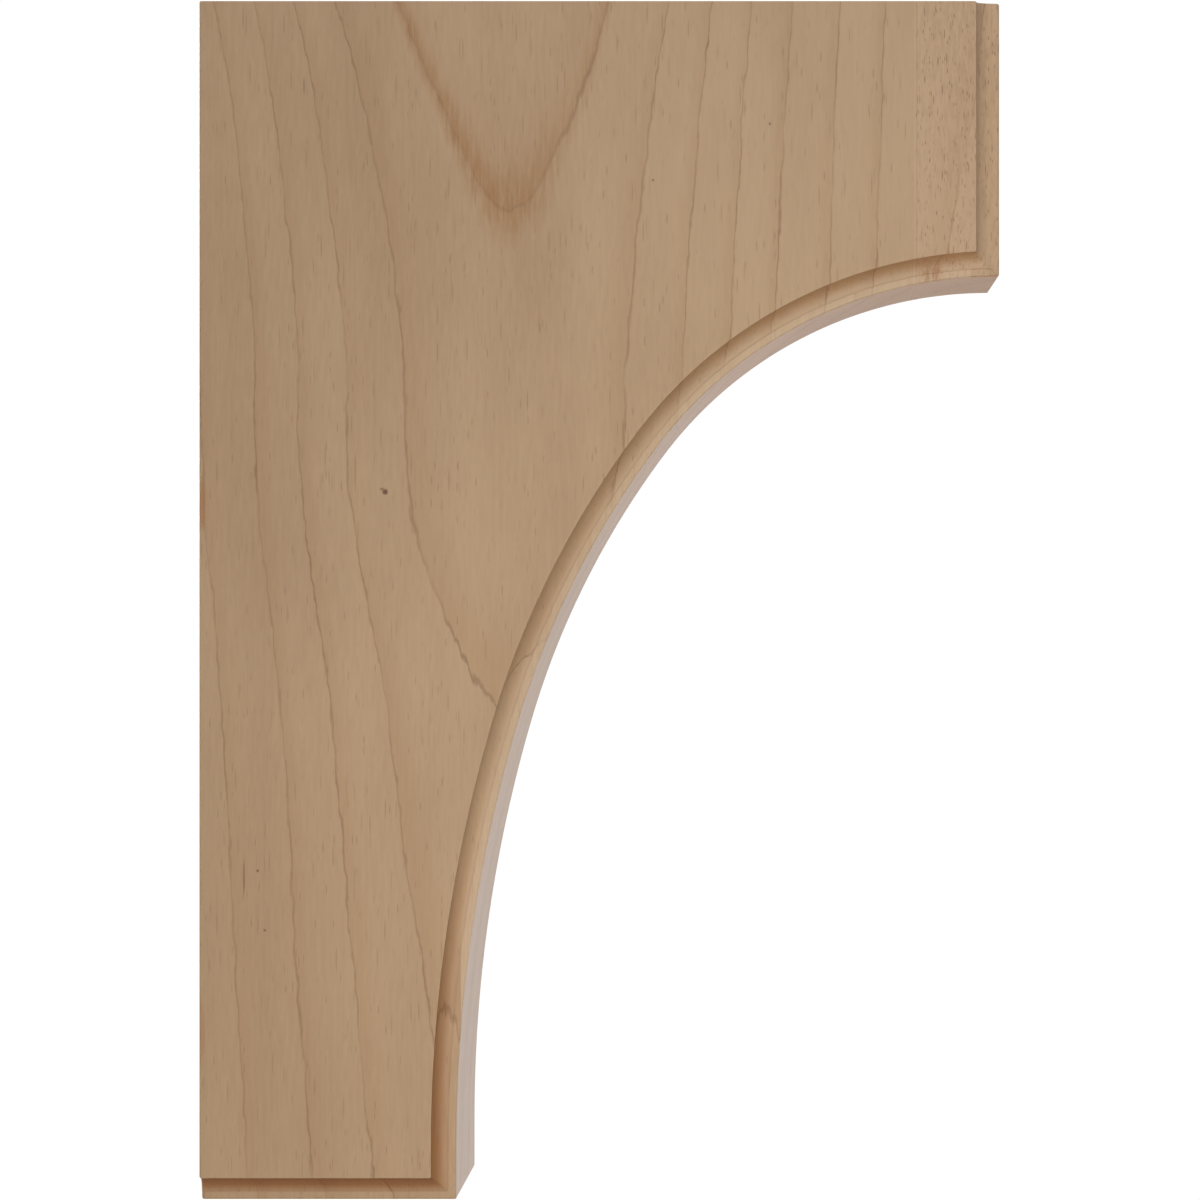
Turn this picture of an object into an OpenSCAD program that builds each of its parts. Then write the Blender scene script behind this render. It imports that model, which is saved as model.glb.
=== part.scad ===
// Wooden corbel bracket.
//
// Two boards are glued edge to edge and sawn as one: a flat shelf on top, a square nose, and a
// hollow three-centred curve that sweeps down from the nose to a narrow foot. A cove between two
// small square steps, with a flat fillet outside it, is worked along the nose, the curve and the
// bottom of both broad faces.
//
// The origin is the middle of the back face, the one that is fixed to the wall. +X points away
// from the wall, +Z points up, and the thickness lies evenly on both sides of the XZ plane.
// All sizes are in millimetres.

/* [Bracket] */
// How far the shelf reaches out from the wall
projection = 203.2; // [170:0.1:260]
// Height of the back face
height = 304.8; // [250:0.1:400]
// Thickness across the broad faces
thickness = 63.5; // [20:0.1:100]
// Width of the strip glued on at the nose
strip_w = 21.4; // [12:0.1:40]

/* [Curve] */
// Height of the square nose
nose_h = 69.5; // [50:0.1:90]
// Width of the foot
foot_w = 64.8; // [50:0.1:85]
// Straight height of the foot, up to the start of the curve
foot_run = 13; // [2:0.5:30]
// Radius of the middle arc of the curve
mid_r = 224; // [180:1:270]

/* [Moulding] */
// Radius of the cove
cove_r = 4; // [2:0.1:10]
// Depth of the small square step at each side of the cove
quirk = 0.3; // [0.1:0.1:2]
// Width of the flat fillet between the cove and the outer edge
fillet_w = 2.05; // [0.5:0.05:8]

/* [Hidden] */
// Pieces of the bracket
// Piece to draw, or all of them
$fn = 180;

// How far a cut runs past the wood that it takes away
clear = 10;
// How far the lines that part the arcs run on past the curve, into the wood
reach = 60;

top = height / 2;
bottom = -height / 2;
joint_x = projection - strip_w;
moulding_w = fillet_w + cove_r;
moulding_depth = cove_r + 2 * quirk;

// Directions from the arcs' centres to the arcs' ends. The two between arcs lie along a 7-24-25
// and a 3-4-5 triangle, which keeps the centres on round numbers.
to_wall = [-1, 0];
to_low_end = [-24, 7] / 25;
to_mid_end = [-4, 3] / 5;
to_nose = [0, 1];

// The middle arc is given. The lower and upper arcs touch it with no kink, and have the radii
// that carry the curve from the foot, upright, to the underside of the nose, level. The lower
// one is rounded to a whole millimetre, and the straight of the foot takes up the difference.
span_x = projection - foot_w - mid_r * (to_mid_end.x - to_low_end.x);
span_z = height - nose_h - foot_run - mid_r * (to_mid_end.y - to_low_end.y);
low_across = 1 + to_low_end.x;
top_up = 1 - to_mid_end.y;
shared = -to_mid_end.x * to_low_end.y - low_across * top_up;
low_r = round((-to_mid_end.x * span_z - top_up * span_x) / shared);
top_r = (span_x - low_across * low_r) / -to_mid_end.x;

// Where the arcs end, from the nose down, and their centres
nose_end = [projection, top - nose_h];
top_centre = nose_end - top_r * to_nose;
mid_centre = top_centre + (top_r - mid_r) * to_mid_end;
low_centre = mid_centre + (mid_r - low_r) * to_low_end;
mid_end = mid_centre + mid_r * to_mid_end;
low_end = low_centre + low_r * to_low_end;
foot_end = low_centre + low_r * to_wall;

// Each arc: its centre, its radius, and the corners of the sector that it fills. Neighbours
// share the two corners on the line between them.
ARCS = [
    [low_centre, low_r, [low_centre, foot_end + reach * to_wall, low_end + reach * to_low_end, mid_centre]],
    [mid_centre, mid_r, [mid_centre, low_end + reach * to_low_end, mid_end + reach * to_mid_end, top_centre]],
    [top_centre, top_r, [top_centre, mid_end + reach * to_mid_end, nose_end + reach * to_nose]],
];

// Turns a shape drawn with its outline in XY, so that the outline stands up in XZ
module upright() {
    rotate([90, 0, 0]) children();
}

// A shape and its mirror image on the other broad face
module both_faces() {
    children();
    mirror([0, 0, 1]) children();
}

// An outline cut right through the thickness
module through() {
    translate([0, 0, -thickness / 2 - clear]) linear_extrude(thickness + 2 * clear) children();
}

// The full height of wood between two distances from the wall
module blank(near, far) {
    translate([near, bottom, -thickness / 2]) cube([far - near, height, thickness]);
}

// A shape turned around an arc's centre, kept only inside the arc's sector
module in_sector(arc) {
    intersection() {
        translate(arc[0]) children();
        through() polygon(arc[2]);
    }
}

// The open side: the straight-sided space between the ends of the arcs, and a slice of a
// cylinder out to each arc
module open_side() {
    through()
        polygon([
            [foot_end.x, bottom - clear],
            foot_end,
            low_end,
            mid_end,
            nose_end,
            nose_end + [clear, 0],
            [projection + clear, bottom - clear],
        ]);
    for (arc = ARCS)
        in_sector(arc) cylinder(r = arc[1], h = thickness + 2 * clear, center = true);
}

// Section of the wood that the moulding takes away. X runs into the wood from the outer edge,
// and Y rises from the fillet.
module moulding_section() {
    translate([-clear, 0]) square([clear + fillet_w, moulding_depth + clear]);
    translate([0, moulding_depth - quirk]) square([moulding_w, quirk + clear]);
    translate([fillet_w, moulding_depth - quirk]) circle(cove_r);
}

// The moulding cut along +X from the origin, with the wood on its +Y side
module straight_run(length) {
    rotate([90, 0, 90]) linear_extrude(length) moulding_section();
}

// The moulding cut right around a circle, with the wood outside it
module round_run(radius) {
    rotate_extrude() translate([radius, 0]) moulding_section();
}

// The moulding on one face: along the bottom, up the foot, around the curve and up the nose.
// The straight cuts run past the corners, which mitres them.
module moulding() {
    translate([0, 0, thickness / 2 - moulding_depth]) {
        translate([-clear, bottom]) straight_run(foot_w + 2 * clear);
        translate([foot_w, bottom - clear]) rotate(90) straight_run(foot_end.y - bottom + clear);
        translate(nose_end - [0, clear]) rotate(90) straight_run(nose_h + 2 * clear);
    }
    for (arc = ARCS)
        in_sector(arc)
            translate([0, 0, thickness / 2 - moulding_depth]) round_run(arc[1]);
}

// The part of the bracket that lies between two distances from the wall
module board(near, far) {
    upright()
        difference() {
            blank(near, far);
            open_side();
            both_faces() moulding();
        }
}

// The wide board: the back, the foot, and most of the shelf and of the curve
module main_board() {
    color("#b3977a") board(0, joint_x);
}

// The narrow strip glued to the edge of the wide board, which brings the nose out to full width
module nose_strip() {
    color("#b8987c") board(joint_x, projection);
}

main_board();
nose_strip();
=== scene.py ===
"""A wooden corbel bracket: two alder boards glued edge to edge, moulded, sanded and left bare.

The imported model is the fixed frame. Both of its boards are stood for here by lofted meshes with
eased arrises, dressed in solid procedural wood, so that growth rings run through from face to
face and show as end grain on the shelf and under the foot.
"""

import logging
import math
from dataclasses import dataclass, field
from enum import Enum
from typing import Iterable, Sequence

import bmesh
import bpy
from bmesh.types import BMesh, BMVert
from bpy.types import Material, Node, NodeSocket, NodeTree, Object, World
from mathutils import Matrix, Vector


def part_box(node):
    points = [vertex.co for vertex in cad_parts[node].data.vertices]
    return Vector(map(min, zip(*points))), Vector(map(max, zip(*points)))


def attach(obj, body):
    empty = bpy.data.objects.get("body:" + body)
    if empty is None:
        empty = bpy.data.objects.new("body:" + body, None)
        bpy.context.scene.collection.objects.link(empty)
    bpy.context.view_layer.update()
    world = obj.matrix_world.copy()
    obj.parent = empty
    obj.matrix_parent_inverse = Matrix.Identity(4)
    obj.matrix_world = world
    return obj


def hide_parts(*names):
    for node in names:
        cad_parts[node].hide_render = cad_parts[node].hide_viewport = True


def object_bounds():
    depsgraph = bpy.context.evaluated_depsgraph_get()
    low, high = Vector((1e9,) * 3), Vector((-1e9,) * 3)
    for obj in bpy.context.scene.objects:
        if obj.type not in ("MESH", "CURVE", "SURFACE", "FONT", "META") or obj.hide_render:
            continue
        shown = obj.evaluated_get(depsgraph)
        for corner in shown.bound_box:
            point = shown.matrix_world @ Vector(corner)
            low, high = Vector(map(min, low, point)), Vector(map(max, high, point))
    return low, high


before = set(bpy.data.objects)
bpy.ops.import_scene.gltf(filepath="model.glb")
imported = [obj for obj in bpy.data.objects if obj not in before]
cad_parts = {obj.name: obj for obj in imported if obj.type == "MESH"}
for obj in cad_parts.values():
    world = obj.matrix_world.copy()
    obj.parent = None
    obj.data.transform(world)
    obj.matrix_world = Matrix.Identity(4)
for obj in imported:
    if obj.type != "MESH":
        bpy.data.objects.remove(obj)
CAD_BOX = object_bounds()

LOG = logging.getLogger("corbel")

MM = 0.001
# Faces that meet at more than this keep a hard edge between them
HARD_EDGE = math.radians(32)
# Places nearer than this are the same place, in metres
TOUCHING = 0.01 * MM
SRGB_KNEE = 0.04045

Point = tuple[float, float]
Triple = tuple[float, float, float]

# The setting of a map range that eases in and out
SMOOTH = {"interpolation_type": "SMOOTHSTEP"}
# How far apart in the noise two growth lines are looked up, so that each has its own patches
NOISE_STEP = 37.0
# The two layers of pores: how far the second is shifted, and how much longer its pores are
PORE_LAYERS = ((0.0, 1.0), (7.3, 2.2))
# How far the fibres push a mark's edge, and where a mark starts and is full, in its half sizes
MARK_RAGGED = 1.5
MARK_EDGE = (1.6, 1.1)
# How wide the full depth of a pore is, as a share of the pore, and the share that are closed
PORE_CORE = 0.45
PORES_CLOSED = 0.25
# The ends of the noise that are taken as none and full, for each thing that it breaks up
PATCH_NOISE = (0.3, 0.68)
CLOUD_NOISE = (0.3, 0.7)
STAIN_NOISE = (0.36, 0.62)
# the painted rim highlight is patchy between these ends
HIGHLIGHT_NOISE = (0.3, 0.6)
# How much the wood is turned to the grain before and when it looks like end grain
END_GRAIN = (0.15, 1.0)


class Role(Enum):
    """What a lamp is there to do."""

    KEY = "key"
    FILL = "fill"
    RIM = "rim"
    TOP = "top"
    BACK = "back"


def linear(hex_colour: str) -> tuple[float, float, float, float]:
    """Turn an sRGB colour into the linear one that shaders work in.

    Args:
        hex_colour: Six hex digits, such as "b3977a".

    Returns:
        Red, green, blue and a full alpha.
    """
    channels = []
    for byte in bytes.fromhex(hex_colour):
        value = byte / 255
        if value <= SRGB_KNEE:
            channels.append(value / 12.92)
        else:
            channels.append(((value + 0.055) / 1.055) ** 2.4)
    return (*channels, 1.0)


def add_node(
    tree: NodeTree,
    kind: str,
    inputs: dict[str, object] | Sequence[object] = (),
    stops: Sequence[tuple[float, str]] = (),
    curve: Sequence[Point] = (),
    **settings: object,
) -> Node:
    """Add a node with its settings, and fill or link its inputs.

    Args:
        tree: The tree that the node goes in.
        kind: The node's type, without its "ShaderNode" start, and its operation after a dot.
        inputs: What the inputs get, by name or in order: a number, a vector or colour, or the
            node or socket that feeds it. A node stands for its first output in use. A MapRange's
            order is the value, the two ends it comes from and the two it goes to.
        stops: For a colour ramp, each stop's place and sRGB hex colour.
        curve: For a float curve, the points that straight lines join.
        settings: The node's own properties.

    Returns:
        The new node.
    """
    kind, _, operation = kind.partition(".")
    node = tree.nodes.new("ShaderNode" + kind)
    if operation:
        node.operation = operation
    for name, value in settings.items():
        setattr(node, name, value)
    if stops:
        elements = node.color_ramp.elements
        while len(elements) < len(stops):
            elements.new(1.0)
        for element, (place, colour) in zip(elements, stops):
            element.position = place
            element.color = linear(colour)
    if curve:
        points = node.mapping.curves[0].points
        while len(points) < len(curve):
            points.new(1.0, 1.0)
        for point, place in zip(points, curve):
            point.location = place
            point.handle_type = "VECTOR"
        node.mapping.update()
    for key, value in inputs.items() if isinstance(inputs, dict) else enumerate(inputs):
        if isinstance(key, int):
            socket = node.inputs[key]
        else:
            socket = next(item for item in node.inputs if item.enabled and item.name == key)
        if isinstance(value, Node):
            value = next(item for item in value.outputs if item.enabled)
        if isinstance(value, NodeSocket):
            tree.links.new(value, socket)
        else:
            socket.default_value = value
    return node


def fresh_tree(owner: Material | World) -> NodeTree:
    """Give a new material or world an empty tree of nodes, and return it."""
    owner.use_nodes = True
    owner.node_tree.nodes.clear()
    return owner.node_tree


def per(across: float, along: float) -> Triple:
    """Give the scale of a pattern that is this many mm across the grain and along it."""
    return (1 / across, 1 / across, 1 / along)


def streaks(
    tree: NodeTree, place: Node, size: Point, inputs: dict[str, object], **settings: object
) -> Node:
    """Draw noise that is stretched along the grain.

    Args:
        tree: The material's nodes.
        place: The point in mm.
        size: How big the noise is across the grain and along it, in mm.
        inputs: The noise's own inputs.
        settings: The noise's own properties.

    Returns:
        The noise, about 0 to 1.
    """
    point = add_node(tree, "VectorMath.MULTIPLY", (place, per(*size)))
    return add_node(tree, "TexNoise", {"Vector": point, "Scale": 1.0, **inputs}, **settings)


def bridge(shape: BMesh, rows: list[list[BMVert]]) -> None:
    """Join each closed row of corners to the next with faces."""
    for row, following in zip(rows, rows[1:]):
        for index in range(len(row)):
            after = (index + 1) % len(row)
            shape.faces.new((row[index], row[after], following[after], following[index]))


def stand(shape: BMesh, name: str) -> Object:
    """Turn a shape into a smooth object in the scene.

    Args:
        shape: The shape, which is freed.
        name: The object's name.

    Returns:
        The new object.
    """
    mesh = bpy.data.meshes.new(name)
    shape.to_mesh(mesh)
    shape.free()
    mesh.shade_smooth()
    thing = bpy.data.objects.new(name, mesh)
    bpy.context.scene.collection.objects.link(thing)
    return thing


class MarkKind(Enum):
    """What a mark in the wood is."""

    KNOT = "knot"
    GUM = "gum"


@dataclass(frozen=True)
class Mark:
    """A small mark in the wood. Sizes in millimetres."""

    kind: MarkKind
    across: float
    below_top: float
    half_width: float
    half_length: float
    strength: float


@dataclass(frozen=True)
class AlderTones:
    """The colours of sanded, unfinished alder, with a painted shade for the coves and a painted highlight
    for the rim.
    """

    light: str
    dark: str
    ring: str
    ring_shade: str
    fleck: str
    knot: str
    seam: str
    gum: str = "a5703f"
    end_grain: str = "efdcc4"
    # painted shade, laid over the coves
    painted_cove_shade: str = "dcbb92"
    # painted highlight, laid along the rim
    painted_rim_highlight: str = "e6d0b4"


@dataclass(frozen=True)
class Ground:
    """The nodes of one material, and the point of wood that they colour.

    The point is in mm: across from the wall, back from the front face, down from the top.
    """

    tree: NodeTree
    place: Node
    across: NodeSocket
    back: NodeSocket
    down: NodeSocket
    normal: NodeSocket
    fibre: Node


@dataclass(frozen=True)
class Alder:
    """Alder board, sawn on the flat, moulded, sanded and left bare.

    What that gives the eye: a matt pinkish tan with almost no figure but thin, slightly wavy
    brown lines where each year's growth ends, a faint darker haze on one side of each, fine
    silky fibres along the grain, and short dark dashes where the pores are cut open. Across
    the grain the same pores are dots, and the wood looks darker.
    """

    name: str
    tones: AlderTones
    # Where growth lines cross a line out from the heart, in mm from it
    rings: tuple[float, ...]
    # Pores, in mm: alder's are under 0.1 wide, drawn three to five times as wide so they show
    pore_spacing: float
    pore_length: float
    pore_size: float
    pore_strength: float
    marks: tuple[Mark, ...] = ()
    ior: float = 1.5
    # The roughness between fibres and on them
    roughness: Point = (0.43, 0.59)
    # Half of a line's width, and of the stain beside the lines nearest the heart, in mm
    line_width: float = 0.36
    stain_width: float = 1.5
    stained_rings: float = 2.5
    # How far from the wall the stain has faded, over what length, in mm, and what is left of it
    stain_end: float = 93.0
    stain_fade: float = 14.0
    stain_left: float = 0.4
    # How strong the stain is from fibre to fibre, and how much of a line is lost in it
    stain_streaks: Point = (0.6, 1.5)
    line_loss: float = 0.4
    line_strength: float = 0.72
    haze_strength: float = 0.6
    # How far the lines waver, and the size of a wave across the grain and along it, in mm
    waver: float = 1.7
    wave_size: Point = (14.0, 34.0)
    # How far the lines jump from one strand of fibres to the next, and a strand's size, in mm
    fray: float = 1.5
    strand_size: Point = (1.6, 7.0)
    # The size of the patches where lines show or fade, in mm, and how weak they become
    patch_size: Point = (60.0, 26.0)
    weakest: float = 0.12
    # The share of a year's growth after which the wood darkens, and by how much
    late: float = 0.62
    late_shade: float = 0.3
    seam_strength: float = 0.4
    # Half of the glue line's width in mm, with its soft edge and without, drawn wide to show
    seam_width: Point = (0.6, 0.2)
    half_thickness: float = 31.75
    # Where the cove starts and ends below either face, in mm
    cove_depths: Point = (0.15, 4.45)
    # Painted shade in the cove: the way its darkest parts face, and how far they face it where it starts
    # and is full
    shade_way: Triple = (0.7, 0.0, -1.0)
    shade_facing: Point = (-0.35, 0.95)
    # Surfaces that face it less than this were not moulded, and get no painted rim highlight
    plain_facing: float = -0.2
    # Between these depths below the top, in mm, the painted shade grows to its full strength
    shade_depths: Point = (200.0, 290.0)
    shade_most: float = 1.55
    # The painted rim highlight's depth below either face, and half of its width with its soft edge and
    # without, in mm; then how strong it is, and the share of that between the fibres
    rim_depth: float = 4.85
    rim_width: Point = (0.75, 0.3)
    highlight_strength: float = 0.5
    faintest_highlight: float = 0.5
    # The middle and half the length, across from the wall, of the stretch of rim that gets the painted
    # highlight, in mm
    sanded: Point = (131.0, 65.0)
    # How strongly the fibres show, and how long they are in mm
    silk: float = 0.68
    fibre_length: float = 9.0
    # The size of the patches of tone, in mm, and how dark they are at the least and the most
    cloud_size: Point = (26.0, 110.0)
    cloud_tones: Point = (-0.14, 0.38)
    # The way the board pales, over what length in mm, and how dark it is at each end
    paling_way: Triple = (1.0, 0.0, 0.2)
    paling_length: float = 150.0
    paling_tones: Point = (0.76, 0.12)
    # Heights beside the fibres' own: lines stand a hair proud, pores and knots are troughs
    line_height: float = 0.15
    pore_height: float = -0.9
    knot_height: float = -0.5
    # Sanding leaves a relief of a few hundredths of a millimetre
    relief_mm: float = 0.05
    relief_strength: float = 0.55

    def ring_distance(self, ground: Ground) -> tuple[Node, Node | float]:
        """Work out how far each point is from the heart of the tree.

        Args:
            ground: The point of wood.

        Returns:
            The distance in mm, and how squarely the broad face cuts the rings, up to 1.
        """
        raise NotImplementedError

    def ground(self, tree: NodeTree, top: float, front: float) -> Ground:
        """Measure the point of wood in mm, and draw the fine fibres.

        Args:
            tree: The material's nodes.
            top: Height of the shelf's top in metres.
            front: Place of the front face along Y in metres.

        Returns:
            The ground that the rest of the wood is drawn on.
        """
        coordinates = add_node(tree, "TexCoord")
        place = add_node(
            tree,
            "VectorMath.MULTIPLY_ADD",
            (coordinates.outputs["Object"], (1 / MM, 1 / MM, -1 / MM), (0.0, -front / MM, top / MM)),
        )
        across, back, down = add_node(tree, "SeparateXYZ", {"Vector": place}).outputs
        # Fibres are far finer than this; a millimetre with finer layers is the least that shows
        fibre = streaks(tree, place, (1.0, self.fibre_length), {"Detail": 3.0, "Roughness": 0.65})
        return Ground(tree, place, across, back, down, coordinates.outputs["Normal"], fibre)

    def build(self, top: float, front: float, glue_line: float) -> Material:
        """Build the material.

        Args:
            top: Height of the shelf's top in metres.
            front: Place of the front face along Y in metres.
            glue_line: Place of the glue line along X in metres.

        Returns:
            The finished material.
        """
        material = bpy.data.materials.new(self.name)
        tree = fresh_tree(material)
        ground = self.ground(tree, top, front)
        lines, haze = self.growth_lines(ground)
        pores = self.pores(ground)
        seam = self.seam(ground, glue_line)
        marks = {kind: self.mark_spots(ground, kind) for kind in MarkKind}
        grain = self.colour(ground, lines, haze, pores, seam)
        colour = self.cut_tones(ground, grain, marks)
        height = self.relief(ground, lines, pores, marks[MarkKind.KNOT])

        roughness = add_node(tree, "MapRange", (ground.fibre, 0.0, 1.0, *self.roughness))
        bump = add_node(
            tree,
            "Bump",
            {"Strength": self.relief_strength, "Distance": self.relief_mm * MM, "Height": height},
        )
        shader = add_node(
            tree,
            "BsdfPrincipled",
            {
                "Base Color": colour,
                "Roughness": roughness,
                "IOR": self.ior,
                "Metallic": 0.0,
                "Normal": bump,
            },
        )
        add_node(tree, "OutputMaterial", {"Surface": shader})
        return material

    def growth_lines(self, ground: Ground) -> tuple[Node, Node]:
        """Draw the growth lines.

        Args:
            ground: The point of wood.

        Returns:
            The thin line and the haze beside it, each from 0 to 1.
        """
        tree = ground.tree
        distance, square = self.ring_distance(ground)
        reach = self.rings[-1]
        count = len(self.rings) - 1
        wave = streaks(tree, ground.place, self.wave_size, {"Detail": 2.0})
        wavered = add_node(tree, "Math.MULTIPLY_ADD", (wave, self.waver, distance))
        centred = add_node(tree, "Math.SUBTRACT", (wavered, self.waver / 2))
        strand = streaks(tree, ground.place, self.strand_size, {"Detail": 2.0})
        jump = add_node(tree, "Math.MULTIPLY_ADD", (strand, self.fray, -self.fray / 2))
        frayed = add_node(tree, "Math.MULTIPLY_ADD", (jump, square, centred))
        share = add_node(tree, "Math.DIVIDE", (frayed, reach))
        spread = add_node(
            tree,
            "FloatCurve",
            {"Value": share},
            curve=[(radius / reach, index / count) for index, radius in enumerate(self.rings)],
        )
        years = add_node(tree, "Math.MULTIPLY", (spread, float(count)))
        year = add_node(tree, "Math.FRACT", (years,))
        nearest = add_node(tree, "Math.ROUND", (years,))
        away = add_node(tree, "Math.SUBTRACT", (years, nearest))
        off = add_node(tree, "Math.MULTIPLY", (away, reach / count))
        off_line = add_node(tree, "Math.ABSOLUTE", (off,))
        width = add_node(tree, "Math.MULTIPLY", (square, self.line_width))
        thin = add_node(tree, "MapRange", (off_line, width, 0.0), **SMOOTH)
        # Each line is strong in places and nearly fades away in others
        own = add_node(tree, "Math.MULTIPLY", (nearest, NOISE_STEP))
        patch = streaks(
            tree, ground.place, self.patch_size, {"W": own, "Detail": 2.0}, noise_dimensions="4D"
        )
        uneven = add_node(tree, "MapRange", (patch, *PATCH_NOISE, self.weakest))
        line = add_node(tree, "Math.MULTIPLY", (thin, uneven))
        late = add_node(tree, "MapRange", (year, self.late, 1.0, 0.0, self.late_shade), **SMOOTH)
        # The rings nearest the heart are stained for a few millimetres, most on the wall's side
        inner = add_node(tree, "Math.LESS_THAN", (nearest, self.stained_rings))
        side = add_node(
            tree,
            "MapRange",
            (ground.across, self.stain_end, self.stain_end - self.stain_fade, self.stain_left),
        )
        stained = add_node(tree, "Math.MULTIPLY", (inner, side))
        softer = add_node(tree, "Math.MULTIPLY_ADD", (stained, -self.line_loss, 1.0))
        line = add_node(tree, "Math.MULTIPLY", (line, softer))
        stain = add_node(tree, "MapRange", (off_line, self.stain_width, 0.0, 0.0, stained), **SMOOTH)
        streaky = add_node(tree, "MapRange", (ground.fibre, *STAIN_NOISE, *self.stain_streaks))
        broken = add_node(tree, "Math.MULTIPLY", (stain, streaky))
        haze = add_node(tree, "Math.ADD", (late, broken))
        return line, haze

    def pores(self, ground: Ground) -> Node:
        """Scatter the cut pores: dashes along the grain, dots across it.

        Args:
            ground: The point of wood.

        Returns:
            How much a point lies in a pore, from 0 to 1.
        """
        tree = ground.tree
        layers = []
        for shift, longer in PORE_LAYERS:
            scale = per(self.pore_spacing, self.pore_length * longer)
            cells = add_node(tree, "VectorMath.MULTIPLY_ADD", (ground.place, scale, (shift,) * 3))
            cell = add_node(tree, "TexVoronoi", {"Vector": cells, "Scale": 1.0, "Randomness": 1.0})
            spot = add_node(
                tree,
                "MapRange",
                (cell.outputs["Distance"], self.pore_size, self.pore_size * PORE_CORE),
                **SMOOTH,
            )
            each = add_node(tree, "SeparateColor", {"Color": cell.outputs["Color"]})
            depth = add_node(tree, "MapRange", (each, PORES_CLOSED))
            layers.append(add_node(tree, "Math.MULTIPLY", (spot, depth)))
        return add_node(tree, "Math.MAXIMUM", layers)

    def end_grain(self, ground: Ground) -> Node:
        """Find where a surface cuts across the grain, which runs up and down.

        Args:
            ground: The point of wood.

        Returns:
            0 along the grain and 1 square across it.
        """
        facing = add_node(ground.tree, "SeparateXYZ", {"Vector": ground.normal})
        slope = add_node(ground.tree, "Math.ABSOLUTE", (facing.outputs["Z"],))
        return add_node(ground.tree, "MapRange", (slope, *END_GRAIN), **SMOOTH)

    def painted_moulding_light(self, ground: Ground) -> tuple[Node, Node]:
        """Find where shade is painted into the cove, and where a highlight is painted along the rim.

        Args:
            ground: The point of wood.

        Returns:
            How much painted shade and how much painted highlight a point gets, each from 0 to 1.
        """
        tree = ground.tree
        middle = add_node(tree, "Math.SUBTRACT", (ground.back, self.half_thickness))
        out = add_node(tree, "Math.ABSOLUTE", (middle,))
        shallow, deep = (self.half_thickness - depth for depth in self.cove_depths)
        past_fillet = add_node(tree, "Math.GREATER_THAN", (out, deep))
        under_face = add_node(tree, "Math.LESS_THAN", (out, shallow))
        in_cove = add_node(tree, "Math.MULTIPLY", (past_fillet, under_face))
        # Surfaces in the cove that face down and away from the wall get painted shade
        facing = add_node(tree, "VectorMath.DOT_PRODUCT", (ground.normal, self.shade_way)).outputs["Value"]
        turned = add_node(tree, "MapRange", (facing, *self.shade_facing))
        # The painted shade grows stronger towards the foot
        towards_foot = add_node(tree, "MapRange", (ground.down, *self.shade_depths, 0.0, self.shade_most))
        cove_shading = add_node(tree, "Math.MULTIPLY", (turned, towards_foot))
        painted_cove_shade = add_node(tree, "Math.MULTIPLY", (in_cove, cove_shading), use_clamp=True)

        # A highlight is painted along the rounded rim of the curve, broken up by the fibres
        rim = self.half_thickness - self.rim_depth
        from_rim = add_node(tree, "Math.SUBTRACT", (out, rim))
        off_rim = add_node(tree, "Math.ABSOLUTE", (from_rim,))
        near_rim = add_node(tree, "MapRange", (off_rim, *self.rim_width, 0.0, self.highlight_strength))
        on_curve = add_node(tree, "Math.COMPARE", (ground.across, *self.sanded))
        moulded = add_node(tree, "Math.GREATER_THAN", (facing, self.plain_facing))
        reached = add_node(tree, "Math.MULTIPLY", (on_curve, moulded))
        pale = add_node(tree, "Math.MULTIPLY", (near_rim, reached))
        patchy = add_node(tree, "MapRange", (ground.fibre, *HIGHLIGHT_NOISE, self.faintest_highlight))
        painted_rim_highlight = add_node(tree, "Math.MULTIPLY", (pale, patchy))
        return painted_cove_shade, painted_rim_highlight

    def seam(self, ground: Ground, glue_line: float) -> Node:
        """Find the hair-thin line of squeezed wood along the glue line.

        Args:
            ground: The point of wood.
            glue_line: Place of the glue line along X in metres.

        Returns:
            1 at the glue line and 0 a little way from it.
        """
        tree = ground.tree
        away = add_node(tree, "Math.SUBTRACT", (ground.across, glue_line / MM))
        gap = add_node(tree, "Math.ABSOLUTE", (away,))
        return add_node(tree, "MapRange", (gap, *self.seam_width))

    def mark_spots(self, ground: Ground, kind: MarkKind) -> Node | None:
        """Place the marks of one kind, which reach a little way in from the front face.

        Args:
            ground: The point of wood, whose fibres break up the marks' edges.
            kind: The kind of mark.

        Returns:
            How much a point lies in a mark, or None if there are none.
        """
        tree = ground.tree
        total = None
        for mark in (one for one in self.marks if one.kind is kind):
            centre = (-mark.across / mark.half_width, 0.0, -mark.below_top / mark.half_length)
            near = add_node(
                tree,
                "VectorMath.MULTIPLY_ADD",
                (ground.place, per(mark.half_width, mark.half_length), centre),
            )
            size = add_node(tree, "VectorMath.LENGTH", (near,))
            ragged = add_node(tree, "Math.MULTIPLY_ADD", (ground.fibre, MARK_RAGGED, size.outputs["Value"]))
            spot = add_node(tree, "MapRange", (ragged, *MARK_EDGE, 0.0, mark.strength), **SMOOTH)
            if total is None:
                total = spot
            else:
                total = add_node(tree, "Math.MAXIMUM", (total, spot))
        return total

    def colour(self, ground: Ground, lines: Node, haze: Node, pores: Node, seam: Node) -> Node:
        """Lay the wood's own tones over one another.

        Args:
            ground: The point of wood.
            lines: The thin growth lines.
            haze: The darker wood beside each line.
            pores: The cut pores.
            seam: The line of squeezed wood along the glue line.

        Returns:
            The colour.
        """
        tree = ground.tree
        cloud = streaks(tree, ground.place, self.cloud_size, {"Detail": 2.0})
        tone = add_node(tree, "MapRange", (cloud, *CLOUD_NOISE, *self.cloud_tones))
        silk = add_node(tree, "Math.MULTIPLY_ADD", (ground.fibre, self.silk, tone))
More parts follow.
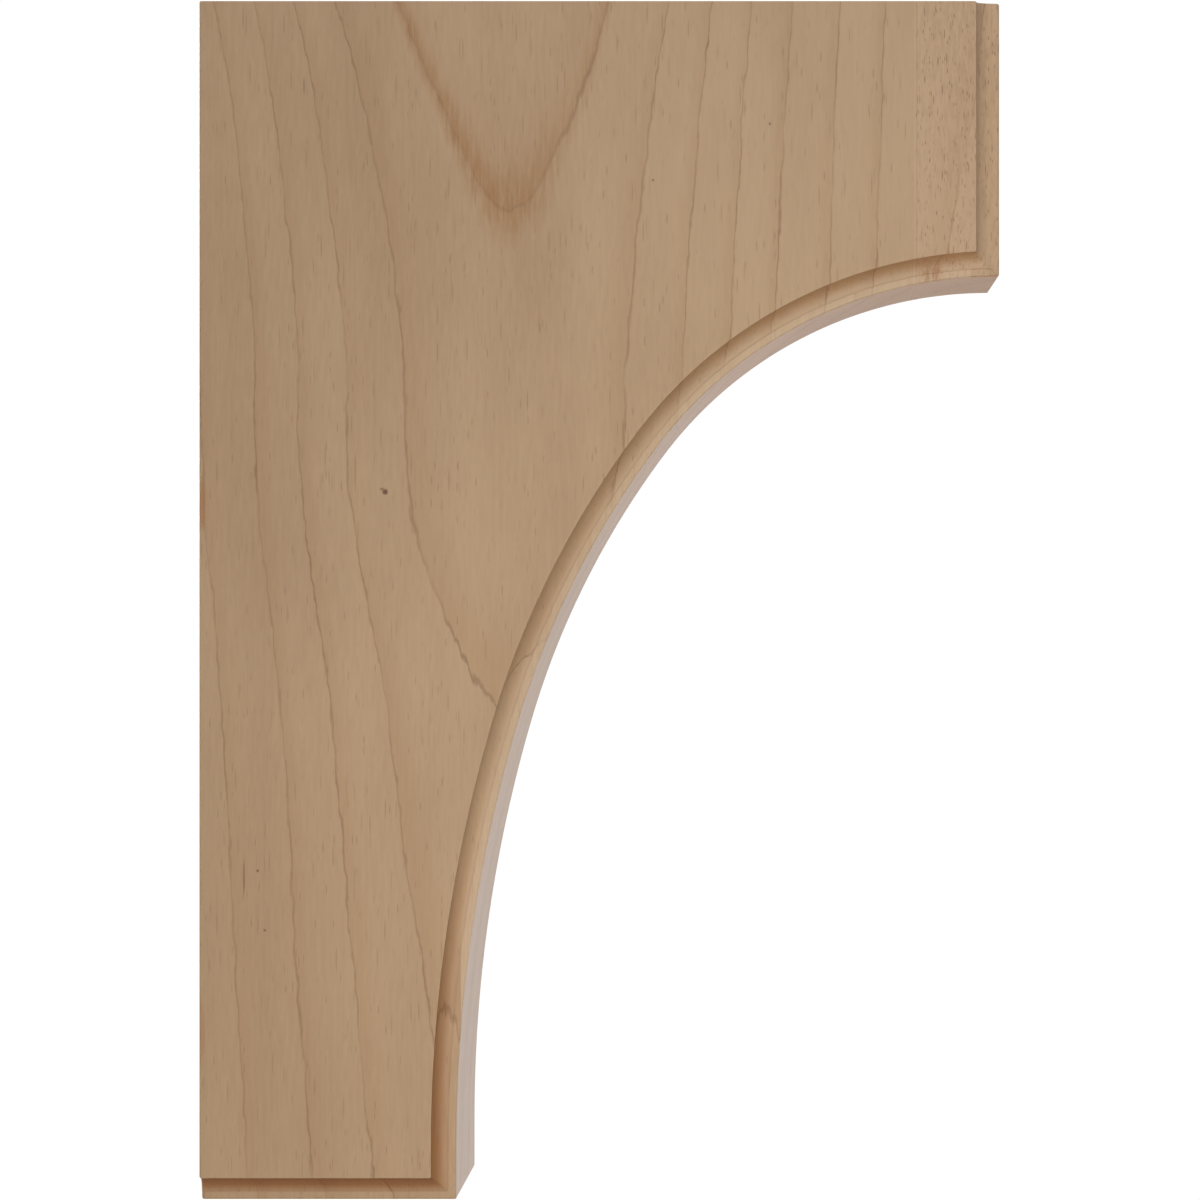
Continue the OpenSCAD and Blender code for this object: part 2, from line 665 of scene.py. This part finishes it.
        # The board is darker towards its upper wall corner and paler towards the nose
        run = add_node(tree, "VectorMath.DOT_PRODUCT", (ground.place, self.paling_way)).outputs["Value"]
        drift = add_node(tree, "MapRange", (run, 0.0, self.paling_length, *self.paling_tones))
        darkened = add_node(tree, "Math.ADD", (silk, drift))
        shade = add_node(tree, "Math.SUBTRACT", (darkened, self.silk / 2))
        layers = (
            (shade, 1.0, self.tones.dark),
            (haze, self.haze_strength, self.tones.ring_shade),
            (lines, self.line_strength, self.tones.ring),
            (pores, self.pore_strength, self.tones.fleck),
            (seam, self.seam_strength, self.tones.seam),
        )
        colour: object = linear(self.tones.light)
        for amount, strength, tint in layers:
            part = add_node(tree, "Math.MULTIPLY", (amount, strength), use_clamp=True)
            mixed = {"Factor": part, "A": colour, "B": linear(tint)}
            colour = add_node(tree, "Mix", mixed, data_type="RGBA")
        return colour

    def cut_tones(self, ground: Ground, colour: Node, marks: dict[MarkKind, Node | None]) -> Node:
        """Tone the wood where it was cut across, paint shade into the coves and a highlight along the rim,
        and lay the marks on top.

        Args:
            ground: The point of wood.
            colour: The wood's own colour.
            marks: For each kind of mark, how much a point lies in one, if there are any.

        Returns:
            The finished colour.
        """
        # Painted shade in the coves and a painted highlight along the rim
        painted_cove_shade, painted_rim_highlight = self.painted_moulding_light(ground)
        layers = (
            (self.end_grain(ground), self.tones.end_grain, "MULTIPLY"),
            (painted_cove_shade, self.tones.painted_cove_shade, "MULTIPLY"),
            (painted_rim_highlight, self.tones.painted_rim_highlight, "MIX"),
            (marks[MarkKind.GUM], self.tones.gum, "MIX"),
            (marks[MarkKind.KNOT], self.tones.knot, "MIX"),
        )
        for amount, tint, blend in layers:
            if amount is not None:
                mixed = {"Factor": amount, "A": colour, "B": linear(tint)}
                colour = add_node(ground.tree, "Mix", mixed, data_type="RGBA", blend_type=blend)
        return colour

    def relief(self, ground: Ground, lines: Node, pores: Node, knots: Node | None) -> Node:
        """Work out the height of the sanded surface.

        Args:
            ground: The point of wood.
            lines: The thin growth lines, where the wood is harder.
            pores: The cut pores.
            knots: The knots and specks, if there are any.

        Returns:
            The height, about 0 to 1.
        """
        parts = ((lines, self.line_height), (pores, self.pore_height), (knots, self.knot_height))
        height = ground.fibre
        for part, rise in parts:
            if part is not None:
                height = add_node(ground.tree, "Math.MULTIPLY_ADD", (part, rise, height))
        return height


@dataclass(frozen=True)
class AlderNearHeart(Alder):
    """Alder sawn through beside the heart, whose rings meet in a pointed arch near the shelf.

    The heart runs in front of the front face, and slopes away from it going down.
    """

    # The heart's distance from the wall at the top, and how far it drifts from there, in mm
    heart_across: float = 77.0
    heart_drift: float = 3.5
    drift_depth: float = 50.0
    # How far in front of the face the heart is, and how fast it leaves going down
    heart_front: float = 30.0
    heart_slope: float = 0.093
    dip: float = 10.0
    dip_depth: float = 25.0
    # How far down the heart starts to run more nearly level with the face, and by how much
    turn_depth: float = 200.0
    turn: float = 0.024
    # A slight bend of the trunk part of the way down
    bend: float = 3.3
    bend_depth: float = 125.0
    bend_length: float = 30.0
    # How fast the rings close in on the heart going back, against rings that are true circles
    flatness: float = 0.45
    # The slant at which the rings are cut least squarely, and how squarely that is
    most_slant: float = 0.65
    least_square: float = 0.22

    def ring_distance(self, ground: Ground) -> tuple[Node, Node | float]:
        """Do what Alder says, for a heart that runs down in front of the face."""
        tree = ground.tree
        down = ground.down
        drift_power = add_node(tree, "Math.MULTIPLY", (down, -1 / self.drift_depth))
        drift_left = add_node(tree, "Math.EXPONENT", (drift_power,))
        heart_x = add_node(
            tree,
            "Math.MULTIPLY_ADD",
            (drift_left, -self.heart_drift, self.heart_across + self.heart_drift),
        )
        beside = add_node(tree, "Math.SUBTRACT", (ground.across, heart_x))

        dip_power = add_node(tree, "Math.MULTIPLY", (down, -1 / self.dip_depth))
        dip_left = add_node(tree, "Math.EXPONENT", (dip_power,))
        sloping = add_node(tree, "Math.MULTIPLY_ADD", (down, self.heart_slope, self.heart_front))
        past_turn = add_node(tree, "Math.SUBTRACT", (down, self.turn_depth))
        turned = add_node(tree, "Math.MAXIMUM", (past_turn, 0.0))
        eased = add_node(tree, "Math.MULTIPLY_ADD", (turned, -self.turn, sloping))
        dipped = add_node(tree, "Math.MULTIPLY_ADD", (dip_left, -self.dip, eased))
        from_bend = add_node(
            tree,
            "Math.MULTIPLY_ADD",
            (down, 1 / self.bend_length, -self.bend_depth / self.bend_length),
        )
        squared = add_node(tree, "Math.MULTIPLY", (from_bend, from_bend))
        negative = add_node(tree, "Math.MULTIPLY", (squared, -1.0))
        bell = add_node(tree, "Math.EXPONENT", (negative,))
        front = add_node(tree, "Math.MULTIPLY_ADD", (bell, -self.bend, dipped))
        behind = add_node(tree, "Math.MULTIPLY_ADD", (ground.back, self.flatness, front))
        offset = add_node(tree, "CombineXYZ", {"X": beside, "Y": behind})
        length = add_node(tree, "VectorMath.LENGTH", (offset,))
        lean = add_node(tree, "Math.DIVIDE", (beside, length.outputs["Value"]))
        slant = add_node(tree, "Math.ABSOLUTE", (lean,))
        square = add_node(tree, "MapRange", (slant, 0.0, self.most_slant, self.least_square))
        return length, square


@dataclass(frozen=True)
class AlderQuarter(Alder):
    """Alder strip sawn far from the heart, with nearly straight rings that lean across it."""

    # The lean of the rings, in mm across for each mm down and for each mm back
    lean_down: float = 0.19
    lean_back: float = 0.55
    offset: float = 130.0

    def ring_distance(self, ground: Ground) -> tuple[Node, Node | float]:
        """Do what Alder says, for a heart so far off that the rings look flat."""
        lean = add_node(
            ground.tree,
            "VectorMath.DOT_PRODUCT",
            (ground.place, (1.0, self.lean_back, self.lean_down)),
        )
        distance = add_node(ground.tree, "Math.SUBTRACT", (lean.outputs["Value"], self.offset))
        return distance, 1.0


def moved(point: Point, way: Point, distance: float) -> Point:
    """Give the point that lies some distance from another in a direction."""
    return (point[0] + distance * way[0], point[1] + distance * way[1])


@dataclass(frozen=True)
class Sweep:
    """The hollow three-centred curve, from the foot up to the underside of the nose. Metres."""

    foot_width: float = 0.0648
    nose_height: float = 0.0695
    low_radius: float = 0.382
    middle_radius: float = 0.224
    nose_radius: float = 0.1091
    # Directions from the centres to the two places where arcs meet
    low_join: Point = (-24 / 25, 7 / 25)
    middle_join: Point = (-4 / 5, 3 / 5)
    segment: float = 0.0016

    def arcs(self, nose_x: float, top: float) -> list[tuple[Point, float, float, float]]:
        """Find the arcs, from the foot up.

        Args:
            nose_x: Place of the nose along X.
            top: Height of the shelf's top.

        Returns:
            For each arc its centre, its radius, and the angles where it starts and ends.
        """
        nose_centre = (nose_x, top - self.nose_height - self.nose_radius)
        middle_centre = moved(nose_centre, self.middle_join, self.nose_radius - self.middle_radius)
        low_centre = moved(middle_centre, self.low_join, self.middle_radius - self.low_radius)
        low_angle = math.atan2(self.low_join[1], self.low_join[0])
        middle_angle = math.atan2(self.middle_join[1], self.middle_join[0])
        return [
            (low_centre, self.low_radius, math.pi, low_angle),
            (middle_centre, self.middle_radius, low_angle, middle_angle),
            (nose_centre, self.nose_radius, middle_angle, math.pi / 2),
        ]

    def along(self, nose_x: float, top: float, inset: float, near: float, far: float) -> list[Point]:
        """Trace the curve, set into the wood, between two distances from the wall.

        Args:
            nose_x: Place of the nose along X.
            top: Height of the shelf's top.
            inset: How far into the wood the traced line is.
            near: The X where the trace starts, or less than the foot's for the whole foot end.
            far: The X where the trace ends.

        Returns:
            Points from the lower end to the upper end, as (x, z), both ends included. The
            number of points depends on near and far, and never on inset.
        """
        points: list[Point] = []
        for (x, z), radius, start, end in self.arcs(nose_x, top):
            outer = radius + inset
            begin = start
            finish = end
            arc_end = x + radius * math.cos(end)
            if arc_end <= near + TOUCHING:
                continue
            if x + radius * math.cos(start) < near:
                begin = math.acos((near - x) / outer)
            if arc_end > far or end == math.pi / 2:
                finish = math.acos((far - x) / outer)
            steps = max(2, round(radius * abs(end - start) / self.segment))
            # The arcs share the point where they meet
            for index in range(1 if points else 0, steps + 1):
                angle = begin + (finish - begin) * index / steps
                points.append((x + outer * math.cos(angle), z + outer * math.sin(angle)))
            if arc_end > far:
                break
        return points


@dataclass(frozen=True)
class Level:
    """One outline of a board, in metres."""

    depth: float
    inset: float
    ease: float


@dataclass(frozen=True)
class Moulding:
    """The cove between two small square steps, with a fillet outside it. Metres."""

    fillet: float = 0.00205
    cove_radius: float = 0.004
    step: float = 0.0003
    # Sandpaper has taken the edges off: the rim and the plain edges more, the crisp steps less
    rim_round: float = 0.00055
    plain_round: float = 0.0004
    step_round: float = 0.00012
    # The share of the step's height where a row of corners keeps its wall flat
    flat_wall: float = 0.7
    cove_facets: int = 18
    round_facets: int = 5

    def plain_ease(self, depth: float) -> float:
        """Give how far a plain edge is rounded off at a depth below the face.

        Args:
            depth: Depth below the broad face.

        Returns:
            How far in the edge is there.
        """
        if depth >= self.plain_round:
            return 0.0
        rise = self.plain_round - depth
        return self.plain_round - math.sqrt(self.plain_round**2 - rise**2)

    def levels(self) -> list[Level]:
        """List the outlines from a broad face down to the rim.

        Returns:
            The levels, from the face to just past the rounded rim.
        """
        width = self.fillet + self.cove_radius
        quarter = math.pi / 2
        pairs: list[Point] = []
        for index in range(self.round_facets):
            turn = quarter * index / (self.round_facets - 1)
            depth = self.step_round * (1 - math.cos(turn))
            pairs.append((depth, width + self.step_round * (1 - math.sin(turn))))
        pairs.append((self.step * self.flat_wall, width))
        for index in range(self.cove_facets + 1):
            turn = quarter * (1 - index / self.cove_facets)
            depth = self.step + self.cove_radius * math.cos(turn)
            pairs.append((depth, self.fillet + self.cove_radius * math.sin(turn)))
        floor = self.cove_radius + 2 * self.step
        pairs.append((floor, self.fillet))
        for index in range(self.round_facets + 1):
            turn = quarter * index / self.round_facets
            depth = floor + self.rim_round * (1 - math.cos(turn))
            pairs.append((depth, self.rim_round * (1 - math.sin(turn))))
        return [Level(depth, inset, self.plain_ease(depth)) for depth, inset in pairs]


@dataclass
class Board:
    """One of the two glued boards. It is lofted through outlines at many depths."""

    name: str
    node: str
    slot: str
    wood: Alder
    sweep: Sweep = field(default_factory=Sweep)
    moulding: Moulding = field(default_factory=Moulding)
    corner_round: float = 0.00045
    corner_facets: int = 4

    def extent(self) -> tuple[Vector, Vector]:
        """Give the box that the board fills."""
        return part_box(self.node)

    def corners(self, inset: float, ease: float) -> tuple[list[Point], list[int]]:
        """List the outline's points at one level.

        Args:
            inset: How far in the moulded edges are.
            ease: How far in the plain edges are.

        Returns:
            The points as (x, z), and which of them are outer corners to be eased.
        """
        raise NotImplementedError

    def outline(self, level: Level) -> list[Point]:
        """Draw the outline at one level, with its outer corners eased.

        Args:
            level: The level.

        Returns:
            The points as (x, z). Every level has the same number.
        """
        points, eased = self.corners(level.inset, level.ease)
        result: list[Point] = []
        for index, point in enumerate(points):
            if index not in eased:
                result.append(point)
                continue
            before = Vector(points[index - 1])
            after = Vector(points[(index + 1) % len(points)])
            here = Vector(point)
            back = (before - here).normalized()
            on = (after - here).normalized()
            bend = back.angle(on)
            reach = self.corner_round / math.tan(bend / 2)
            middle = (back + on).normalized()
            centre = here + middle * (self.corner_round / math.sin(bend / 2))
            start = here + back * reach - centre
            end = here + on * reach - centre
            swing = start.angle_signed(end)
            for step in range(self.corner_facets + 1):
                turn = -swing * step / self.corner_facets
                cosine = math.cos(turn)
                sine = math.sin(turn)
                spoke = Vector((start.x * cosine - start.y * sine, start.x * sine + start.y * cosine))
                result.append(tuple(centre + spoke))
        return result

    def loft(self) -> Object:
        """Build the board's mesh.

        Returns:
            The new object, with smooth roundings and hard inner edges.
        """
        low, high = self.extent()
        levels = self.moulding.levels()
        stations = [(low.y + level.depth, level) for level in levels]
        stations += [(high.y - level.depth, level) for level in reversed(levels)]
        shape = bmesh.new()
        rows = []
        for place, level in stations:
            rows.append([shape.verts.new((x, place, z)) for x, z in self.outline(level)])
        bridge(shape, rows)
        shape.faces.new(rows[0])
        shape.faces.new(tuple(reversed(rows[-1])))
        bmesh.ops.recalc_face_normals(shape, faces=shape.faces)
        board = stand(shape, self.name)
        board.data.set_sharp_from_angle(angle=HARD_EDGE)
        # Broad flat faces keep a flat sheen up to the roundings beside them
        weighted = board.modifiers.new("flat_faces", "WEIGHTED_NORMAL")
        weighted.keep_sharp = True
        weighted.mode = "FACE_AREA"
        return board

    def build(self) -> Object:
        """Build the board, dress it and fix it to the frame.

        Returns:
            The finished board.
        """
        low, high = self.extent()
        board = self.loft()
        board.data.materials.append(self.wood.build(high.z, low.y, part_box("nose_strip")[0].x))
        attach(board, "root")
        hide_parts(self.node)
        return board


@dataclass
class WideBoard(Board):
    """The wide board, from the wall to the glue line."""

    def corners(self, inset: float, ease: float) -> tuple[list[Point], list[int]]:
        """List the outline's points at one level, as Board says."""
        low, high = self.extent()
        nose_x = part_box("nose_strip")[1].x
        foot = self.sweep.foot_width - inset
        points = [(low.x + ease, high.z - ease), (low.x + ease, low.z + inset), (foot, low.z + inset)]
        points += self.sweep.along(nose_x, high.z, inset, low.x, high.x)
        points.append((high.x, high.z - ease))
        return points, [0, 1, 2]


@dataclass
class NoseBoard(Board):
    """The narrow strip that brings the nose out to full width."""

    def corners(self, inset: float, ease: float) -> tuple[list[Point], list[int]]:
        """List the outline's points at one level, as Board says."""
        low, high = self.extent()
        points = [(low.x, high.z - ease)]
        points += self.sweep.along(high.x, high.z, inset, low.x, high.x - inset)
        points.append((high.x - inset, high.z - ease))
        return points, [len(points) - 2, len(points) - 1]


@dataclass(frozen=True)
class Lamp:
    """One soft studio lamp. Metres, from the middle of the bracket."""

    role: Role
    place: Triple
    size: float
    watts: float
    colour: str

    def build(self, target: Vector) -> Object:
        """Hang the lamp, aimed at the bracket.

        Args:
            target: The middle of the bracket.

        Returns:
            The lamp.
        """
        data = bpy.data.lights.new(self.role.value, "AREA")
        data.shape = "DISK"
        data.size = self.size
        data.energy = self.watts
        data.color = linear(self.colour)[:3]
        lamp = bpy.data.objects.new(self.role.value, data)
        lamp.location = target + Vector(self.place)
        lamp.rotation_euler = (-Vector(self.place)).to_track_quat("-Z", "Y").to_euler()
        lamp.visible_camera = False
        bpy.context.scene.collection.objects.link(lamp)
        return lamp


@dataclass(frozen=True)
class Studio:
    """A pale floor, a white surround and soft lamps. The bracket hangs as if from its wall."""

    # How far the floor is below the middle of the bracket, and how big it is
    drop: float = 1.45
    reach: float = 4.0
    sides: int = 96
    rings: int = 24
    floor_colour: str = "f4f3f1"
    # The card is lit from below too, so that it stays pale far from the lamps
    floor_glow: float = 0.5
    cloth_glow: float = 1.02
    # The air's own light, from below and from above, soft and slightly cool like a white room
    low_light: str = "807b76"
    high_light: str = "8a8987"
    air: float = 1.0
    lamps: tuple[Lamp, ...] = (
        Lamp(Role.KEY, (-0.25, -1.1, 0.55), 0.8, 3.83, "fff8ee"),
        Lamp(Role.FILL, (0.15, -0.52, -0.24), 0.26, 1.13, "fff4e6"),
        Lamp(Role.RIM, (0.42, 0.5, -0.24), 0.36, 1.12, "e9ecff"),
        Lamp(Role.TOP, (0.0, 0.12, 1.2), 0.6, 3.0, "fffaf4"),
        Lamp(Role.BACK, (-0.85, 1.15, 0.45), 1.0, 15.0, "fffaf4"),
    )

    def build(self) -> None:
        """Build the floor, the surround, the air and the lamps."""
        low, high = CAD_BOX
        middle = (Vector(low) + Vector(high)) / 2
        self.floor(middle)
        self.surround(middle)
        self.air_light()
        for lamp in self.lamps:
            lamp.build(middle)
            LOG.info("lamp %s", lamp.role.value)

    def circle(self, shape: BMesh, middle: Vector, tilt: float) -> list[BMVert]:
        """Add one of the surround's level circles of corners.

        Args:
            shape: The shape that they go in.
            middle: The middle of the bracket.
            tilt: How far up the dome, from 0 at the floor to a quarter turn at its top.

        Returns:
            The corners, in order.
        """
        wide = math.cos(tilt)
        row = []
        for index in range(self.sides):
            turn = math.tau * index / self.sides
            spot = Vector((wide * math.cos(turn), wide * math.sin(turn), math.sin(tilt)))
            row.append(shape.verts.new(middle + spot * self.reach - Vector((0, 0, self.drop))))
        return row

    def floor(self, middle: Vector) -> None:
        """Lay the floor.

        Args:
            middle: The middle of the bracket.
        """
        shape = bmesh.new()
        shape.faces.new(self.circle(shape, middle, 0.0))
        floor = stand(shape, "floor")
        material = bpy.data.materials.new("white_card")
        tree = fresh_tree(material)
        coordinates = add_node(tree, "TexCoord")
        tooth = add_node(tree, "TexNoise", {"Vector": coordinates.outputs["Object"], "Scale": 60.0})
        bump = add_node(tree, "Bump", {"Strength": 0.05, "Distance": 0.001, "Height": tooth})
        shader = add_node(
            tree,
            "BsdfPrincipled",
            {
                "Base Color": linear(self.floor_colour),
                "Roughness": 0.8,
                "Normal": bump,
                "Emission Color": linear(self.floor_colour),
                "Emission Strength": self.floor_glow,
            },
        )
        add_node(tree, "OutputMaterial", {"Surface": shader})
        floor.data.materials.append(material)
        floor.visible_diffuse = False

    def surround(self, middle: Vector) -> None:
        """Raise the white surround: a dome of lit cloth that stands on the floor.

        Args:
            middle: The middle of the bracket.
        """
        shape = bmesh.new()
        step = math.pi / 2 / self.rings
        rows = [self.circle(shape, middle, step * ring) for ring in range(self.rings)]
        bridge(shape, rows)
        shape.faces.new(rows[-1])
        dome = stand(shape, "surround")
        material = bpy.data.materials.new("lit_cloth")
        tree = fresh_tree(material)
        glow = add_node(tree, "Emission", {"Color": (1.0, 1.0, 1.0, 1.0), "Strength": self.cloth_glow})
        add_node(tree, "OutputMaterial", {"Surface": glow})
        dome.data.materials.append(material)
        # The cloth is seen and mirrored, while the air and the lamps do the lighting
        dome.visible_diffuse = False
        dome.visible_shadow = False

    def air_light(self) -> None:
        """Fill the air with soft light, dimmer from below than from above."""
        world = bpy.data.worlds.new("soft_air")
        bpy.context.scene.world = world
        tree = fresh_tree(world)
        coordinates = add_node(tree, "TexCoord")
        parts = add_node(tree, "SeparateXYZ", {"Vector": coordinates.outputs["Generated"]})
        height = add_node(tree, "MapRange", (parts.outputs["Z"], -0.6, 0.6))
        tint = add_node(
            tree,
            "ValToRGB",
            {"Fac": height},
            stops=((0.0, self.low_light), (1.0, self.high_light)),
        )
        sky = add_node(tree, "Background", {"Color": tint, "Strength": self.air})
        add_node(tree, "OutputWorld", {"Surface": sky})


@dataclass(frozen=True)
class Viewpoint:
    """The camera: square on to the front face, a little right of the middle. Metres."""

    across: float = 0.1509
    height: float = 0.0042
    distance: float = 0.937
    lens: float = 110.8
    sensor: float = 36.0
    shift: Point = (-0.1617, -0.0125)

    def build(self) -> Object:
        """Set up the camera and the way its picture is shown.

        Returns:
            The camera.
        """
        data = bpy.data.cameras.new("camera")
        data.lens = self.lens
        data.sensor_width = self.sensor
        data.shift_x = self.shift[0]
        data.shift_y = self.shift[1]
        data.clip_start = 0.01
        camera = bpy.data.objects.new("camera", data)
        front = CAD_BOX[0][1]
        camera.location = (self.across, front - self.distance, self.height)
        camera.rotation_euler = (math.pi / 2, 0.0, 0.0)
        scene = bpy.context.scene
        scene.collection.objects.link(camera)
        scene.camera = camera
        scene.view_settings.view_transform = "Standard"
        scene.view_settings.look = "None"
        return camera


WIDE_ALDER = AlderNearHeart(
    name="alder_beside_heart",
    tones=AlderTones(
        light="c8aa88",
        dark="ae8f6d",
        ring="84613f",
        ring_shade="a3784a",
        fleck="8a6a4c",
        knot="5e3414",
        seam="d6bc9c",
    ),
    rings=(0.0, 12.0, 33.7, 46.9, 56.9, 66.3, 75.9, 88.0, 99.0, 110.0, 121.0, 132.0, 143.0),
    pore_spacing=0.95,
    pore_length=7.0,
    pore_size=0.24,
    pore_strength=0.42,
    marks=(
        Mark(MarkKind.KNOT, 47.1, 124.6, 1.0, 1.1, 0.95),
        Mark(MarkKind.KNOT, 46.5, 123.9, 0.9, 0.7, 0.6),
        Mark(MarkKind.GUM, 0.8, 128.0, 1.3, 9.0, 0.7),
        Mark(MarkKind.GUM, 0.6, 262.0, 1.2, 13.0, 0.4),
        Mark(MarkKind.KNOT, 14.8, 220.7, 0.5, 0.6, 0.7),
        Mark(MarkKind.KNOT, 16.6, 235.8, 0.5, 0.6, 0.6),
        Mark(MarkKind.KNOT, 144.8, 31.2, 0.5, 0.6, 0.6),
        Mark(MarkKind.KNOT, 115.1, 45.5, 0.5, 0.5, 0.6),
        Mark(MarkKind.KNOT, 11.3, 222.0, 0.45, 7.0, 0.5),
        Mark(MarkKind.KNOT, 26.6, 22.0, 0.4, 3.5, 0.4),
    ),
)

STRIP_ALDER = AlderQuarter(
    name="alder_far_from_heart",
    tones=AlderTones(
        light="ccad8c",
        dark="b39474",
        ring="8f6b49",
        ring_shade="a9825a",
        fleck="7f5f44",
        knot="3a2415",
        seam="97785a",
    ),
    rings=(0.0, 24.0, 48.0, 71.5, 96.0, 120.0, 144.0),
    pore_spacing=0.56,
    pore_length=2.4,
    pore_size=0.31,
    pore_strength=0.72,
    marks=(Mark(MarkKind.GUM, 186.5, 69.0, 8.0, 5.0, 0.7), Mark(MarkKind.GUM, 190.0, 67.0, 6.0, 4.0, 0.5)),
    seam_strength=0.2,
    silk=2.0,
    fibre_length=5.0,
)


def report(pieces: Iterable[Object]) -> None:
    """Log each piece and how many faces it has."""
    for piece in pieces:
        LOG.info("%s: %d faces", piece.name, len(piece.data.polygons))


def main() -> None:
    """Build the camera, the studio and the two boards in order."""
    logging.basicConfig(level=logging.INFO, format="%(name)s: %(message)s")
    Viewpoint().build()
    Studio().build()
    boards = [
        WideBoard("wide_board", "main_board", "board_wood", WIDE_ALDER),
        NoseBoard("nose_board", "nose_strip", "strip_wood", STRIP_ALDER),
    ]
    report(board.build() for board in boards)


if __name__ == "__main__":
    main()
